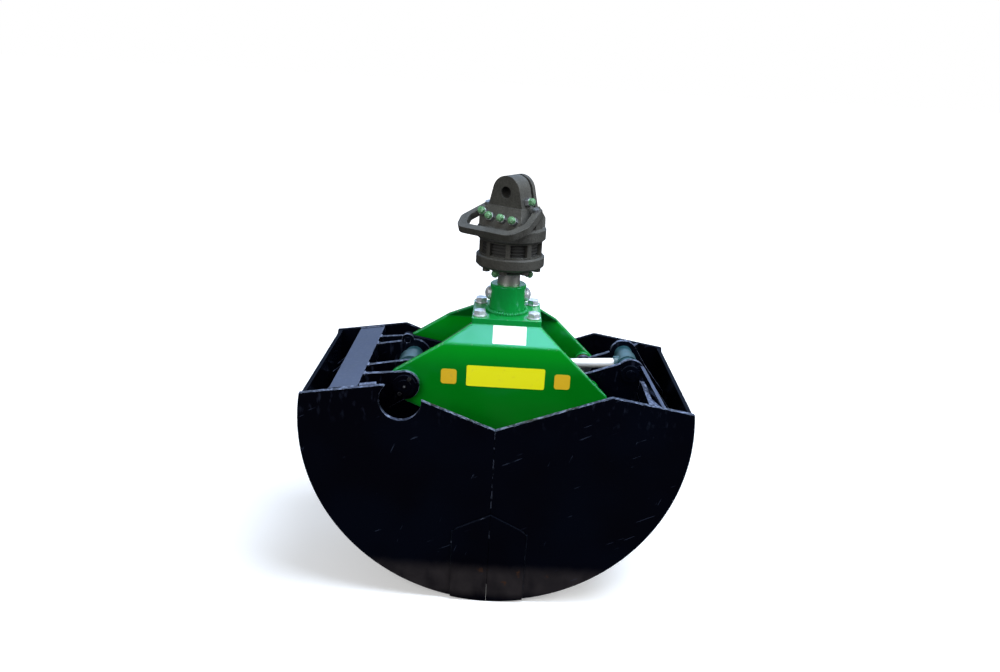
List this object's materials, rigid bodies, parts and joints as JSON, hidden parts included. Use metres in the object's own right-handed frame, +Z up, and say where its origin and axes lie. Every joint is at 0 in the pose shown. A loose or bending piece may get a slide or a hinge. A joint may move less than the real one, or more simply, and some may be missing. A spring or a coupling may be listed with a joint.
{
  "type": "clamshell bucket",
  "caption": "Clamshell bucket with a hydraulic cylinder, folded head and swivel, hung from a bored lug; mirrored shells open together.",
  "frame": {"origin": "middle of the hanger bore at the top of the swivel", "axes": "+Z up along the swivel's axis, X the way the shells open, -Y the front; the pins run along Y"},
  "size_m": [0.824, 0.44, 0.911],
  "materials": {
    "cast_housing": "rough dark grey cast iron",
    "shell_black": "glossy black paint, worn along the edges",
    "head_green": "glossy green paint",
    "zinc": "zinc plated, satin",
    "bare_steel": "machined steel, dull",
    "bronze": "plain bearing bronze",
    "chrome_rod": "hard chrome",
    "cylinder_grey": "grey green primer",
    "cap_green": "soft green plastic",
    "seal_black": "black rubber"
  },
  "bodies": {
    "housing": {"hanger_head": "cast_housing", "swivel_cage": "cast_housing", "stator_core": "cast_housing", "lower_flange": "cast_housing", "hose_guard": "cast_housing", "guard_bolts": "zinc", "housing_bolts": "cast_housing", "port_fittings": "zinc", "port_caps": "cap_green", "swivel_bearings": "bare_steel", "shaft_seal": "seal_black"},
    "head": {"rotor_shaft": "bare_steel", "shaft_nut": "bare_steel", "cross_bolt": "zinc", "dome_nut": "zinc", "flange_collar": "head_green", "flange_bolts": "zinc", "flange_nuts": "zinc", "head_top_plate": "head_green", "head_front_plate": "head_green", "head_rear_plate": "head_green", "left_bosses": "head_green", "right_bosses": "head_green", "head_bushes": "bronze"},
    "left_shell": {"left_front_side": "shell_black", "left_rear_side": "shell_black", "left_wrap": "shell_black", "left_lip": "shell_black", "left_cross_bar": "shell_black", "left_inner_ribs": "shell_black", "left_outer_ribs": "shell_black", "left_edge_strips": "shell_black", "left_pivot_pin": "shell_black", "ear_collars": "shell_black", "collar_bolts": "zinc", "grease_nipples": "zinc", "eye_spacers": "bare_steel", "left_link_pin": "zinc"},
    "right_shell": {"right_front_side": "shell_black", "right_rear_side": "shell_black", "right_wrap": "shell_black", "right_lip": "shell_black", "right_cross_bar": "shell_black", "right_ribs": "shell_black", "right_braces": "shell_black", "right_edge_strips": "shell_black", "right_pivot_pins": "zinc", "rod_pin": "shell_black", "rod_pin_collars": "shell_black", "rod_spacers": "bare_steel", "right_link_pin": "zinc"},
    "barrel": {"cylinder_tube": "cylinder_grey", "base_eye": "cylinder_grey", "base_bush": "bronze", "gland": "cylinder_grey", "cylinder_ports": "cylinder_grey"},
    "rod": {"piston_rod": "chrome_rod", "piston": "bare_steel", "rod_eye": "cylinder_grey"},
    "link": {"sync_link": "bare_steel"}
  },
  "joints": [
    {"name": "swivel_spin", "type": "hinge", "parent": "housing", "child": "head", "pos_m": [0, 0, -0.135], "axis": [0, 0, 1], "continuous": true},
    {"name": "right_shell_swing", "type": "hinge", "parent": "head", "child": "right_shell", "pos_m": [0.189, 0, -0.409], "axis": [0, -1, 0], "range_deg": [0, 50]},
    {"name": "left_shell_swing", "type": "hinge", "parent": "head", "child": "left_shell", "pos_m": [-0.211, 0, -0.409], "axis": [0, 1, 0], "range_deg": [0, 50]},
    {"name": "cylinder_tilt", "type": "hinge", "parent": "head", "child": "barrel", "pos_m": [-0.211, 0, -0.409], "axis": [0, -1, 0], "range_deg": [0, 8.3]},
    {"name": "rod_slide", "type": "slide", "parent": "barrel", "child": "rod", "axis": [0.9976, 0, 0.0692], "range_m": [-0.0461, 0]},
    {"name": "link_swing", "type": "hinge", "parent": "left_shell", "child": "link", "pos_m": [-0.2279, 0.081, -0.37275], "axis": [0, 1, 0], "range_deg": [-49.3, 0]}
  ],
  "couplings": [
    {"joint": "left_shell_swing", "follows": "right_shell_swing", "ratio": 1},
    {"joint": "cylinder_tilt", "follows": "right_shell_swing", "ratio": 0.1655},
    {"joint": "rod_slide", "follows": "right_shell_swing", "m_per_rad": -0.05275},
    {"joint": "link_swing", "follows": "right_shell_swing", "ratio": -0.9855}
  ]
}
